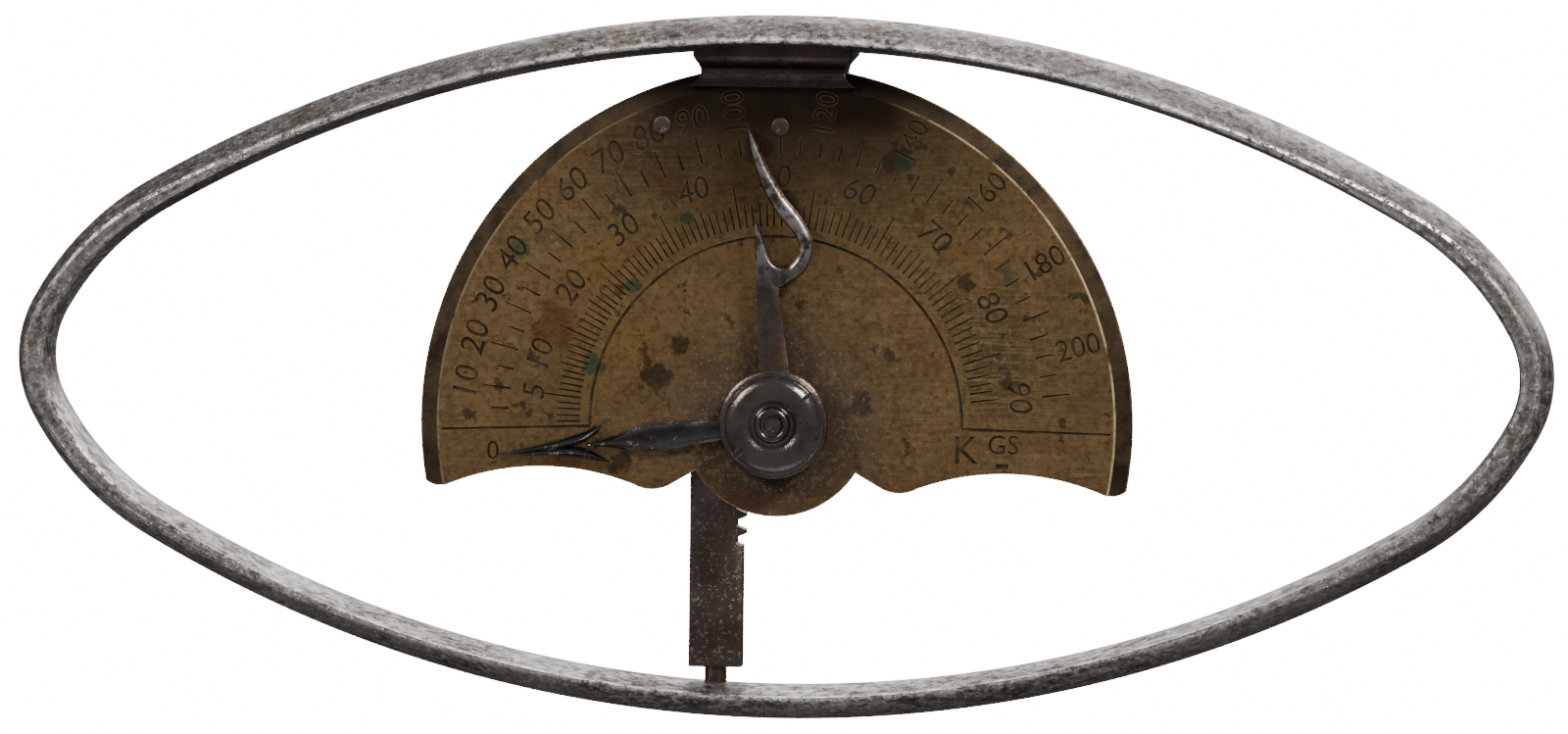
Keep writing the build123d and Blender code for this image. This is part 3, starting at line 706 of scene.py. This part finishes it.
def spring_ring():
    """The band's section, a closed strip at the top, spun through each arc in turn and then brought
    to the band's width at each place."""
    arcs = oval_arcs()
    arm_centre, shoulder_centre, end_centre, arm_low, end_high = arcs
    corners = section_points()
    deselect()
    bpy.ops.mesh.primitive_circle_add(vertices=len(corners), radius=1, location=(0, 0, 0))
    ring = bpy.context.object
    corner_number = ring.data.attributes.new("section_corner", "INT", "POINT")
    for number, (share, face) in enumerate(corners):
        y, depth = section_place(share, face, ARM_HALF)
        ring.data.vertices[number].co = (0, y, HALF_HEIGHT - depth)
        corner_number.data[number].value = number
    arm_turn = math.pi / 2 - arm_low
    shoulder_turn = arm_low - end_high
    turns = [(arm_centre, arm_turn, 60, 1, 1)]
    for side, rise in ((1, 1), (1, -1), (-1, -1), (-1, 1)):
        quarter = [(shoulder_centre, shoulder_turn, 40, side, rise), (end_centre, end_high, 30, side, rise)]
        turns += quarter if side == rise else quarter[::-1]
        if (side, rise) == (1, -1):
            turns.append((arm_centre, 2 * arm_turn, 120, 1, -1))
    turns.append((arm_centre, arm_turn, 60, 1, 1))
    hold(ring)
    bpy.ops.object.mode_set(mode="EDIT")
    bpy.ops.mesh.select_all(action="SELECT")
    for centre, turn, steps, side, rise in turns:
        middle = (side * centre.x, 0, rise * centre.y)
        bpy.ops.mesh.spin(steps=steps, angle=-turn, center=middle, axis=(0, 1, 0))
    bpy.ops.object.mode_set(mode="OBJECT")
    numbers = ring.data.attributes["section_corner"].data
    for vertex in ring.data.vertices:
        centre, radius = arc_at(vertex.co.x, vertex.co.z, arcs)
        side = math.copysign(1, vertex.co.x)
        rise = math.copysign(1, vertex.co.z)
        middle = Vector((side * centre.x, rise * centre.y))
        away = (Vector((vertex.co.x, vertex.co.z)) - middle).normalized()
        share, face = corners[numbers[vertex.index].value]
        crest = middle + away * radius
        y, depth = section_place(share, face, half_width_at(crest.x))
        place = crest - away * depth
        vertex.co = (place.x, y, place.y)
    outward(ring)
    smooth(ring, 24)
    return settle(ring, "ring_band")


# the band closes smoothly from the foot, which holds it, to the rack, which its lower arm carries
ring_band = spring_ring()
dress(ring_band, STEEL_RING)
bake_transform(ring_band)
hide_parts("spring_ring")


# ---- strips and turned pieces ----
def from_pivot(x, y, z):
    """A place given in millimetres from the dial's pivot, with Y as it is."""
    return Vector((PIVOT.x + x * MM, y * MM, PIVOT.z + z * MM))


def leaned(x, z, degrees):
    """A place about the pivot turned clockwise as seen from the front."""
    turn = math.radians(degrees)
    return x * math.cos(turn) + z * math.sin(turn), z * math.cos(turn) - x * math.sin(turn)


def curve_points(points, count):
    """Places along a smooth line through the given points, evenly spaced in the line's own measure."""
    found = []
    last = len(points) - 1
    for number in range(count + 1):
        run = number * last / count
        index = min(int(run), last - 1)
        t = run - index
        before = points[max(index - 1, 0)]
        here = points[index]
        there = points[index + 1]
        after = points[min(index + 2, last)]
        place = []
        for axis in range(2):
            p0, p1, p2, p3 = before[axis], here[axis], there[axis], after[axis]
            place.append(0.5 * (2 * p1 + (p2 - p0) * t + (2 * p0 - 5 * p1 + 4 * p2 - p3) * t * t
                                + (3 * p1 - p0 - 3 * p2 + p3) * t**3))
        found.append(place)
    return found


def forged_strip(left, right, count, front, back, profile, lean):
    """A bar between two edge lines, its front raised or hollowed by a profile across it."""
    across = 10
    deselect()
    bpy.ops.mesh.primitive_grid_add(x_subdivisions=count, y_subdivisions=across, size=2, location=(0, 0, 0))
    strip = bpy.context.object
    left_line = curve_points(left, count)
    right_line = curve_points(right, count)
    for vertex in strip.data.vertices:
        along = round((vertex.co.x + 1) / 2 * count)
        share = (vertex.co.y + 1) / 2
        lx, lz = left_line[along]
        rx, rz = right_line[along]
        width = math.hypot(rx - lx, rz - lz)
        x, z = leaned(lx + (rx - lx) * share, lz + (rz - lz) * share, lean)
        vertex.co = from_pivot(x, front + profile(2 * share - 1, width), z)
    hold(strip)
    bpy.ops.object.mode_set(mode="EDIT")
    bpy.ops.mesh.select_all(action="SELECT")
    bpy.ops.mesh.extrude_region_move(TRANSFORM_OT_translate={"value": (0, 0.01, 0)})
    bpy.ops.object.mode_set(mode="OBJECT")
    for vertex in strip.data.vertices:
        if vertex.co.y > 0:
            vertex.co.y = back * MM
    outward(strip)
    return strip


def rounded(share, width):
    """A crowned front, higher where the bar is wider."""
    return min(0.42, 0.5 * width) * (1 - math.sqrt(max(0.0, 1 - share * share)))


def crowned(share, width):
    """A nearly flat front that falls away at its two edges."""
    return 0.2 * min(1, width) * abs(share) ** 3


def hollow(share, width):
    """A fluted front: a rib along each edge and a trough between them."""
    rib = min(0.3, 0.3 * width)
    edge = abs(share)
    if edge > 0.8:
        return rib * (edge - 0.8) * 2
    return rib * math.cos(edge / 0.8 * math.pi / 2) ** 0.7


def turned_piece(profile, steps=96):
    """A turned piece about the pivot's line, from its closed outline of (radius, y) points."""
    deselect()
    bpy.ops.mesh.primitive_circle_add(vertices=len(profile), radius=1, location=(0, 0, 0))
    piece = bpy.context.object
    for vertex, (radius, y) in zip(piece.data.vertices, profile):
        vertex.co = from_pivot(radius, y, 0)
    hold(piece)
    bpy.ops.object.mode_set(mode="EDIT")
    bpy.ops.mesh.select_all(action="SELECT")
    bpy.ops.mesh.spin(steps=steps, angle=2 * math.pi, center=from_pivot(0, 0, 0), axis=(0, 1, 0))
    bpy.ops.object.mode_set(mode="OBJECT")
    outward(piece)
    return piece


def joined(pieces, name):
    """Several meshes as one piece."""
    deselect()
    for piece in pieces:
        piece.select_set(True)
    bpy.context.view_layer.objects.active = pieces[0]
    if len(pieces) > 1:
        bpy.ops.object.join()
    return settle(bpy.context.object, name)


def carved(piece, cutter):
    """Takes a cutter's shape out of a piece, and leaves the cutter's finish on the cut. Both are made
    a thousand times larger for the cut, which goes wrong on very small edges."""
    larger = Matrix.Scale(1000, 4)
    piece.data.transform(larger)
    cutter.data.transform(larger)
    apply_modifier(piece, "BOOLEAN", operation="DIFFERENCE", object=cutter, solver="EXACT",
                   material_mode="TRANSFER")
    piece.data.transform(larger.inverted())
    deselect()
    cutter.select_set(True)
    bpy.ops.object.delete()


# ---- the dial and its engraving ----
# sizes in millimetres, radii from the pivot, and angles in degrees clockwise from the left
CUT_DEPTH = 0.11
CUT_WIDTH = 0.17
ARC_WIDTH = 0.24
LONG_CUT_WIDTH = 0.27
ARC_RADIUS = 15.15
LONG_LINE_FROM = 15.1
LONG_LINE_TO = 27.3
INNER_LINES_FROM = 16.0
OUTER_LINES_FROM = 21.8
INNER_NUMBERS = 19.9
OUTER_NUMBERS = 25.4
ZERO_LINE_ANGLE = -1.9
LAST_LINE_ANGLE = 181.0
ARC_START_ANGLE = -1.4
ARC_END_ANGLE = 180.6
HAND_SLIP = 0.12
DIAL_FRONT_MM = DIAL_FRONT / MM


def on_dial(angle, radius):
    """A place on the dial from its angle, counted clockwise from the left, and its radius."""
    turn = math.radians(180 - angle)
    return radius * math.cos(turn), radius * math.sin(turn)


def inner_angle(reading):
    """Where a reading of the inner scale, from 0 to 90, lies on the dial."""
    return -2.0 + 1.662 * reading + 0.00313 * reading**2


def outer_angle(reading):
    """Where a reading of the outer scale, from 0 to 210, lies on the dial."""
    return -2.0 + 0.842 * reading - 0.00003 * reading**2


def tick_tool(width, length):
    """A wedge for one line, its two ends pointed like a graver's cut."""
    deselect()
    bpy.ops.mesh.primitive_cube_add(size=1, location=(0, 0, 0))
    tool = bpy.context.object
    tool.dimensions = (length * MM, 2 * CUT_DEPTH * MM, width * MM)
    bpy.ops.object.transform_apply(location=False, rotation=False, scale=True)
    for vertex in tool.data.vertices:
        if vertex.co.x > 0:
            vertex.co.z *= 0.55
    return tool


def copied_tick(tool, angle, radius):
    """A copy of a line's tool, with its own mesh, along a radius of the dial."""
    tick = tool.copy()
    tick.data = tool.data.copy()
    bpy.context.scene.collection.objects.link(tick)
    x, z = on_dial(angle, radius)
    turn = Matrix.Rotation(math.radians(angle - 180), 4, "Y")
    tick.data.transform(Matrix.Translation(from_pivot(x, DIAL_FRONT_MM, z)) @ turn)
    return tick


def scale_lines():
    """The tools of both scales' lines."""
    wanted = []
    for reading in range(1, 91):
        length = 1.9 if reading % 5 else (3.3 if reading % 10 else 2.2)
        wanted.append((inner_angle(reading), INNER_LINES_FROM, length))
    for reading in range(5, 211, 5):
        length = 1.4 if reading % 10 else 2.3
        if reading >= 100 and reading % 20 == 0:
            length = 1.3
        wanted.append((outer_angle(reading), OUTER_LINES_FROM, length))
    tools = {}
    lines = []
    for angle, start, length in wanted:
        if length not in tools:
            tools[length] = tick_tool(CUT_WIDTH, length)
        slip = random.uniform(-HAND_SLIP, HAND_SLIP)
        lines.append(copied_tick(tools[length], angle + slip, start + length / 2))
    for end_angle in (ZERO_LINE_ANGLE, LAST_LINE_ANGLE):
        tool = tick_tool(LONG_CUT_WIDTH, LONG_LINE_TO - LONG_LINE_FROM)
        lines.append(copied_tick(tool, end_angle, (LONG_LINE_FROM + LONG_LINE_TO) / 2))
        tools[end_angle] = tool
    deselect()
    for tool in tools.values():
        tool.select_set(True)
    bpy.ops.object.delete()
    return lines


def arc_tool(radius, start_angle, end_angle, width):
    """The tool of the curved line that joins the two long ones."""
    deselect()
    bpy.ops.mesh.primitive_plane_add(size=1, location=(0, 0, 0))
    tool = bpy.context.object
    x, z = on_dial(start_angle, 1)
    half = width / 2
    corners = [(-half, -CUT_DEPTH), (half, -CUT_DEPTH), (-half, CUT_DEPTH), (half, CUT_DEPTH)]
    for vertex, (out, y) in zip(tool.data.vertices, corners):
        vertex.co = from_pivot(x * (radius + out), DIAL_FRONT_MM + y, z * (radius + out))
    hold(tool)
    bpy.ops.object.mode_set(mode="EDIT")
    bpy.ops.mesh.select_all(action="SELECT")
    turn = -math.radians(end_angle - start_angle)
    bpy.ops.mesh.spin(steps=90, angle=turn, center=from_pivot(0, 0, 0), axis=(0, 1, 0))
    bpy.ops.object.mode_set(mode="OBJECT")
    outward(tool)
    return tool


def number_tool(text, size, angle, radius, radial=False, slant=0.12, upright_text=False):
    """A stamped number's tool: its foot to the pivot, lying along the radius, or upright."""
    deselect()
    bpy.ops.object.text_add(location=(0, 0, 0))
    label = bpy.context.object
    label.data.body = text
    label.data.size = size * MM
    label.data.align_x = "CENTER"
    label.data.align_y = "CENTER"
    label.data.shear = slant
    label.data.extrude = CUT_DEPTH * MM
    label.data.resolution_u = 3
    bpy.ops.object.convert(target="MESH")
    label = bpy.context.object
    turn = angle - 180 if radial else angle - 90
    if upright_text:
        turn = 0
    x, z = on_dial(angle, radius)
    upright = Matrix.Rotation(math.radians(90), 4, "X")
    lean = Matrix.Rotation(math.radians(turn), 4, "Y")
    label.data.transform(Matrix.Translation(from_pivot(x, DIAL_FRONT_MM, z)) @ lean @ upright)
    outward(label)
    return label


def scale_numbers():
    """The tools of both scales' numbers, of the zero and of the kilogram sign with its short line."""
    tools = [number_tool("5", 2.6, inner_angle(5), 19.8)]
    for reading in range(10, 91, 10):
        tools.append(number_tool(str(reading), 2.7, inner_angle(reading), INNER_NUMBERS))
    for reading in range(10, 91, 10):
        tools.append(number_tool(str(reading), 2.8, outer_angle(reading), OUTER_NUMBERS))
    for reading in range(100, 201, 20):
        tools.append(number_tool(str(reading), 2.5, outer_angle(reading), OUTER_NUMBERS, True, slant=0.0))
    for text, size, angle, radius in (("0", 2.2, -6.6, 23.2), ("K", 3.2, 187.6, 15.6),
                                      ("GS", 2.2, 184.8, 18.6), ("-", 4.2, 188.9, 18.7)):
        tools.append(number_tool(text, size, angle, radius, slant=0.0, upright_text=True))
    return tools


def engraved_dial():
    """The dial with its bevelled rim moved in a little, and its scales cut into the front."""
    dial = copy_of("dial_plate", "dial_copy")
    for vertex in dial.data.vertices:
        away = Vector((vertex.co.x - PIVOT.x, vertex.co.z - PIVOT.z))
        if vertex.co.y < DIAL_FRONT + 0.02 * MM and abs(away.length - RIM_FROM) < 0.05 * MM:
            away *= (RIM_FROM - 0.3 * MM) / away.length
            vertex.co = (PIVOT.x + away.x, vertex.co.y, PIVOT.z + away.y)
    apply_modifier(dial, "BEVEL", width=0.09 * MM, segments=2, limit_method="ANGLE",
                   angle_limit=math.radians(12))
    dress(dial, BRASS_DIAL)
    lines = scale_lines()
    arc = arc_tool(ARC_RADIUS, ARC_START_ANGLE, ARC_END_ANGLE, ARC_WIDTH)
    for tools in (lines, [arc], scale_numbers()):
        graver = joined(tools, "graver")
        dress(graver, ENGRAVING)
        carved(dial, graver)
    smooth(dial, 4)
    return settle(dial, "engraved_dial")


engraved = engraved_dial()
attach(engraved, "root")
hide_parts("dial_plate")


# ---- the two pointers ----
ARROW_LEAN = -7.4
ARROW_FRONT = -3.12
ARROW_BACK = -2.62
MAXIMUM_LEAN = -5.8
MAXIMUM_FRONT = -4.46
MAXIMUM_BACK = -3.72


def washer_outline(inner, outer, back, front, round_by=0.08):
    """A flat ring's outline with eased corners, as (radius, y)."""
    return [
        (inner, back), (outer - round_by, back), (outer, back - round_by), (outer, front + round_by),
        (outer - round_by, front), (inner, front),
    ]


def arrow_hand():
    """The driven pointer: a long barbed head and a fluted, leaf-shaped shaft on a ring."""
    tip = (-23.0, 0.0)
    parts = []
    for side in (1, -1):
        outer = [tip, (-19.4, 0.42 * side), (-17.2, 0.74 * side), (-15.4, 1.15 * side), (-13.8, 1.65 * side)]
        inner = [tip, (-19.4, 0.0), (-17.2, 0.0), (-15.6, 0.30 * side), (-13.85, 1.50 * side)]
        parts.append(forged_strip(outer, inner, 30, ARROW_FRONT, ARROW_BACK, hollow, ARROW_LEAN))
    upper = [(-15.6, 0.06), (-14.0, 0.30), (-11.6, 0.88), (-9.9, 1.10), (-7.4, 1.02), (-4.6, 0.82),
             (-2.4, 0.72)]
    lower = [(x, -z) for x, z in upper]
    parts.append(forged_strip(upper, lower, 40, ARROW_FRONT, ARROW_BACK, hollow, ARROW_LEAN))
    parts.append(turned_piece(washer_outline(1.95, 3.2, ARROW_BACK, -3.05)))
    hand = joined(parts, "arrow_hand")
    smooth(hand, 50)
    return hand


def maximum_hand():
    """The pointer that keeps the reading: a disc, a tapered shaft with a spike, and a curled finger."""
    shaft_left = [(-0.8, 3.6), (-0.62, 7.0), (-0.42, 11.0), (-0.22, 14.0), (-0.05, 16.5)]
    shaft_right = [(1.65, 3.6), (1.52, 7.0), (1.35, 10.6), (0.72, 13.9), (0.0, 16.5)]
    outer = [(1.0, 10.6), (2.2, 11.25), (3.75, 12.3), (4.5, 14.2), (3.9, 16.2), (2.5, 18.4), (1.45, 20.6),
             (0.75, 22.6), (0.2, 24.0)]
    inner = [(0.5, 14.6), (1.0, 13.1), (2.2, 12.6), (3.35, 13.9), (2.95, 15.4), (1.75, 17.1), (0.75, 19.4),
             (0.2, 22.0), (0.1, 24.0)]
    parts = [
        forged_strip(shaft_left, shaft_right, 40, MAXIMUM_FRONT, MAXIMUM_BACK, crowned, MAXIMUM_LEAN),
        forged_strip(inner, outer, 72, -4.5, MAXIMUM_BACK, rounded, MAXIMUM_LEAN),
        turned_piece(washer_outline(1.28, 4.45, MAXIMUM_BACK, MAXIMUM_FRONT, 0.16)),
    ]
    hand = joined(parts, "maximum_hand")
    smooth(hand, 50)
    return hand


mount(arrow_hand(), "pinion_body", "arrow_pointer", BLUE_POINTER)
mount(maximum_hand(), "maximum_body", "maximum_pointer", BRIGHT_POINTER)


# ---- the nut ----
def dished_nut():
    """A dished disc with a raised, rounded collar, a thin lip at the rim and two slots."""
    nut = turned_piece([
        (0.80, -4.82), (4.10, -4.82), (4.15, -4.87), (4.15, -5.00), (4.09, -5.07), (4.00, -5.07),
        (3.93, -5.03), (3.86, -5.10), (3.70, -5.28), (3.45, -5.45), (3.15, -5.56), (2.80, -5.60),
        (2.45, -5.55), (2.10, -5.43), (1.85, -5.31), (1.66, -5.23), (1.54, -5.24), (1.46, -5.34),
        (1.43, -5.52), (1.42, -5.70), (1.37, -5.86), (1.27, -5.96), (1.13, -6.00), (1.00, -5.96),
        (0.91, -5.85), (0.88, -5.70), (0.88, -5.30), (0.80, -5.30),
    ], 128)
    for angle, width, start in ((-40, 0.34, 2.9), (140, 0.5, 3.0)):
        deselect()
        bpy.ops.mesh.primitive_cube_add(size=1, location=(0, 0, 0))
        slot = bpy.context.object
        slot.dimensions = (1.6 * MM, 1.2 * MM, width * MM)
        bpy.ops.object.transform_apply(location=False, rotation=False, scale=True)
        place = Matrix.Translation(from_pivot(0, -5.62, 0)) @ Matrix.Rotation(math.radians(angle), 4, "Y")
        slot.data.transform(place @ Matrix.Translation(((start + 0.8) * MM, 0, 0)))
        carved(nut, slot)
    smooth(nut, 45)
    return settle(nut, "dished_nut")


mount(dished_nut(), "root", "spanner_nut", NUT_STEEL)

# ---- the pieces that keep their CAD shape, with eased edges ----
EASED = {
    "dial_foot": ("root", 0.28, 3, "foot_black"),
    "rack": ("rack_body", 0.07, 2, "works_steel"),
    "centre_post": ("root", 0.06, 2, "works_steel"),
    "upper_guide_rivets": ("root", 0.11, 3, "works_steel"),
    "upper_rack_guide": ("root", 0.10, 2, "works_steel"),
    "lower_rack_guide": ("root", 0.10, 2, "works_steel"),
    "lower_guide_screws": ("root", 0.06, 2, "works_steel"),
    "rack_spring": ("root", 0.04, 1, "spring_blue"),
    "rack_spring_screw": ("root", 0.06, 2, "works_steel"),
    "back_bridge": ("root", 0.12, 2, "works_brass"),
    "bridge_pillars": ("root", 0.05, 1, "works_brass"),
    "bridge_screws": ("root", 0.06, 2, "works_steel"),
    "post_nut": ("root", 0.06, 2, "works_steel"),
    "friction_washer": ("root", 0.03, 1, "spring_blue"),
}
for name, (body, width, segments, slot) in EASED.items():
    mount(softened(name, name + "_eased", width * MM, segments), body, name, FINISHES[name])

# ---- the floor ----
FLOOR_DROP = 0.15
deselect()
bpy.ops.mesh.primitive_plane_add(size=3, location=(0, 0, ring_low.z - FLOOR_DROP))
floor = bpy.context.object
floor.name = "floor"
floor_material, floor_shader = new_material("plain_floor")
floor_shader.inputs["Base Color"].default_value = (0.9, 0.9, 0.9, 1)
floor_shader.inputs["Roughness"].default_value = 0.8
dress(floor, floor_material)
floor.visible_glossy = False
